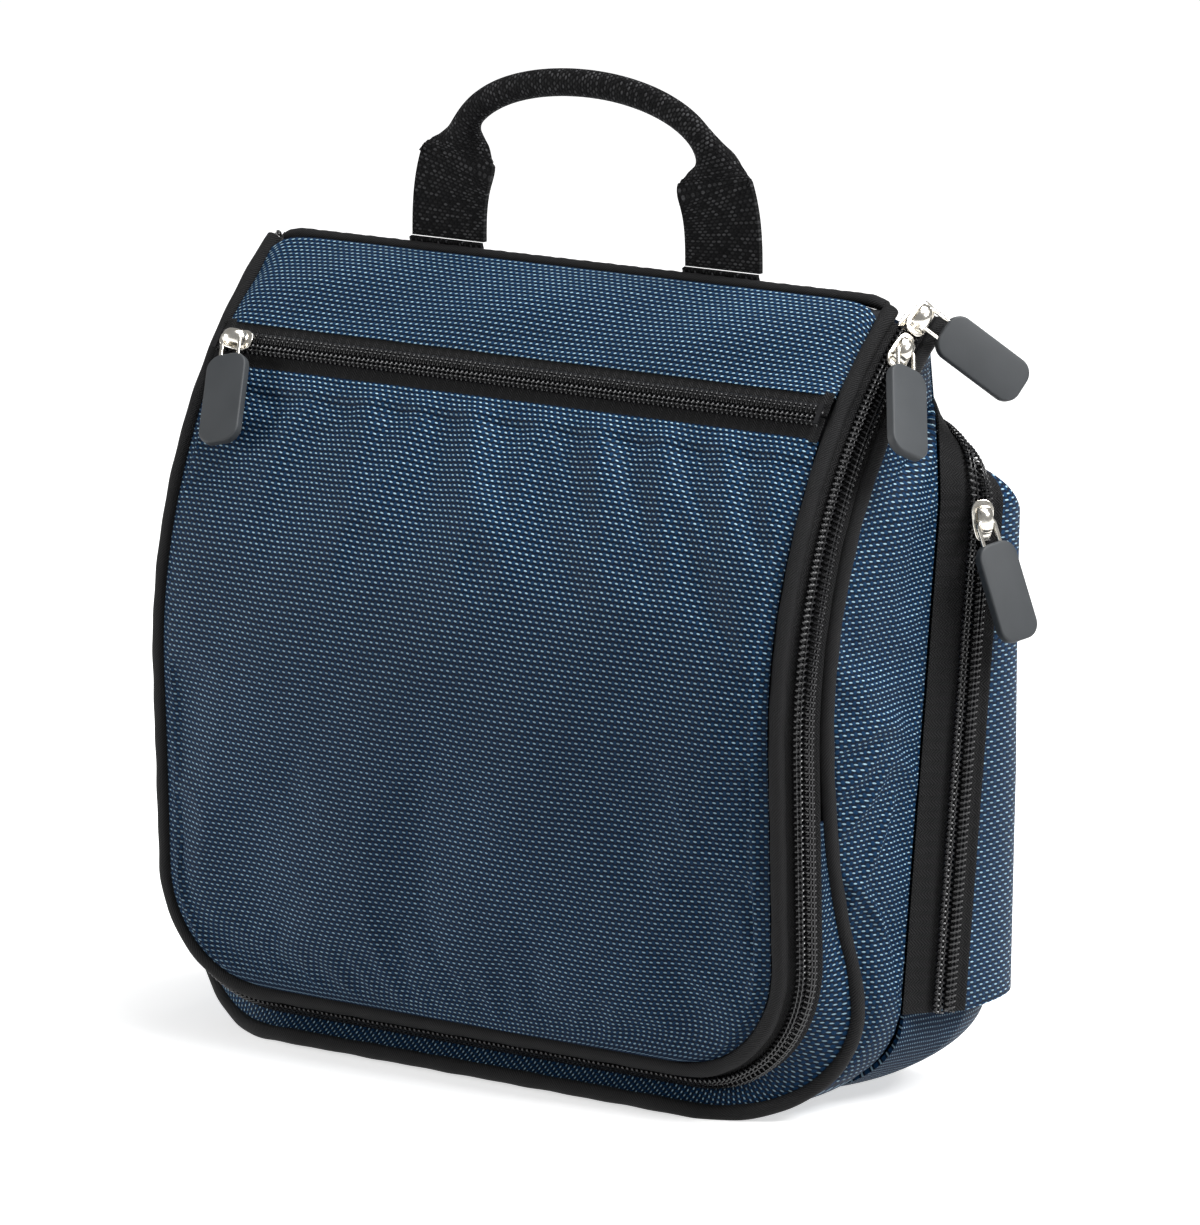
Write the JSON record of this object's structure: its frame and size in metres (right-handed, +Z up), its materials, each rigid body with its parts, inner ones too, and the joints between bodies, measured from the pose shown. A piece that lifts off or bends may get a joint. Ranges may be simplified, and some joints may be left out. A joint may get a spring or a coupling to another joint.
{
  "type": "shaving kit bag",
  "caption": "Free-standing hanging wash bag with a curved zip-round front cover, a front pocket, a rear pouch and a webbing carry handle.",
  "frame": {"origin": "middle of the flat base, on the surface that the bag stands on", "axes": "+X to the right of someone facing the front cover, +Y towards the rear pouch, +Z up"},
  "size_m": [0.3271, 0.127, 0.3322],
  "materials": {
    "woven_blue": "navy polyester basket weave with pale blue-grey pips, slight sheen",
    "black_piping": "black twill binding over a round cord",
    "zip_tape": "black herringbone zip tape",
    "zip_coil": "glossy black nylon coil",
    "lining": "smooth dark nylon lining",
    "mesh": "black knitted mesh",
    "board": "dark stiffener board",
    "webbing": "coarse black webbing",
    "nickel": "polished nickel plate",
    "pull_rubber": "matt dark grey moulded rubber"
  },
  "bodies": {
    "bag": {"gusset_right": "woven_blue", "gusset_left": "woven_blue", "bottom_panel": "woven_blue", "base_board": "board", "rear_base_panel": "woven_blue", "upper_back_panel": "woven_blue", "divider_wall": "lining", "front_fascia": "woven_blue", "body_piping": "black_piping", "ridge_piping": "black_piping", "main_zip_body_tape": "zip_tape", "main_zip_body_coil": "zip_coil", "rear_zip_body_tape": "zip_tape", "rear_zip_body_coil": "zip_coil", "inner_pocket_mesh": "mesh", "inner_pocket_binding": "black_piping", "handle_tails": "webbing"},
    "cover": {"top_panel": "woven_blue", "pocket_panel": "woven_blue", "cover_backing": "lining", "cover_piping": "black_piping", "main_zip_cover_tape": "zip_tape", "main_zip_cover_coil": "zip_coil", "pocket_zip_upper_tape": "zip_tape", "pocket_zip_lower_tape": "zip_tape", "pocket_zip_upper_coil": "zip_coil", "pocket_zip_lower_coil": "zip_coil", "pocket_zip_stops": "zip_coil"},
    "pouch": {"pouch_panel": "woven_blue", "pouch_side_right": "woven_blue", "pouch_side_left": "woven_blue", "rear_zip_pouch_tape": "zip_tape", "rear_zip_pouch_coil": "zip_coil"},
    "handle": {"handle_leg_right": "webbing", "handle_leg_left": "webbing", "handle_grip": "webbing"},
    "main_slider_lower": {"main_slider_lower": "nickel"},
    "main_pull_lower": {"main_link_lower": "nickel", "main_pull_lower": "pull_rubber"},
    "main_slider_upper": {"main_slider_upper": "nickel"},
    "main_pull_upper": {"main_link_upper": "nickel", "main_pull_upper": "pull_rubber"},
    "pocket_slider": {"pocket_slider": "nickel"},
    "pocket_pull": {"pocket_link": "nickel", "pocket_pull": "pull_rubber"},
    "rear_slider": {"rear_slider": "nickel"},
    "rear_pull": {"rear_link": "nickel", "rear_pull": "pull_rubber"}
  },
  "joints": [
    {"name": "cover_hinge", "type": "hinge", "parent": "bag", "child": "cover", "pos_m": [0, 0.01098, 0.26595], "axis": [-1, 0, 0], "range_deg": [0, 105]},
    {"name": "pouch_hinge", "type": "hinge", "parent": "bag", "child": "pouch", "pos_m": [0, 0.058, 0.0333], "axis": [-1, 0, 0], "range_deg": [0, 70]},
    {"name": "handle_fold", "type": "hinge", "parent": "bag", "child": "handle", "pos_m": [0, 0.01458, 0.26645], "axis": [-1, 0, 0], "range_deg": [0, 85]},
    {"name": "main_zip_travel", "type": "hinge", "parent": "bag", "child": "main_slider_lower", "pos_m": [0, 0.117, 0.13], "axis": [1, 0, 0], "range_deg": [0, 46]},
    {"name": "main_zip_follow", "type": "hinge", "parent": "bag", "child": "main_slider_upper", "pos_m": [0, 0.117, 0.13], "axis": [1, 0, 0], "range_deg": [0, 30]},
    {"name": "pocket_zip_travel", "type": "slide", "parent": "cover", "child": "pocket_slider", "axis": [1, 0, 0], "range_m": [0, 0.23074]},
    {"name": "rear_zip_travel", "type": "slide", "parent": "bag", "child": "rear_slider", "axis": [0, -0.1193, -0.9929], "range_m": [0, 0.14]},
    {"name": "main_pull_lower_swing", "type": "hinge", "parent": "main_slider_lower", "child": "main_pull_lower", "pos_m": [0.13748, 0.00169, 0.25328], "axis": [-0.312, -0.8405, 0.4429], "range_deg": [0, 85]},
    {"name": "main_pull_upper_swing", "type": "hinge", "parent": "main_slider_upper", "child": "main_pull_upper", "pos_m": [0.13748, 0.01259, 0.26264], "axis": [-0.1946, -0.6311, -0.7509], "range_deg": [0, 75]},
    {"name": "pocket_pull_swing", "type": "hinge", "parent": "pocket_slider", "child": "pocket_pull", "pos_m": [-0.11537, -0.02948, 0.23663], "axis": [-0.9626, -0.1496, -0.2258], "range_deg": [0, 120]},
    {"name": "rear_pull_swing", "type": "hinge", "parent": "rear_slider", "child": "rear_pull", "pos_m": [0.15545, 0.02207, 0.19553], "axis": [-0.2776, -0.9501, -0.1419], "range_deg": [0, 75]}
  ],
  "couplings": [
    {"joint": "main_zip_follow", "follows": "main_zip_travel", "ratio": 0.6}
  ]
}
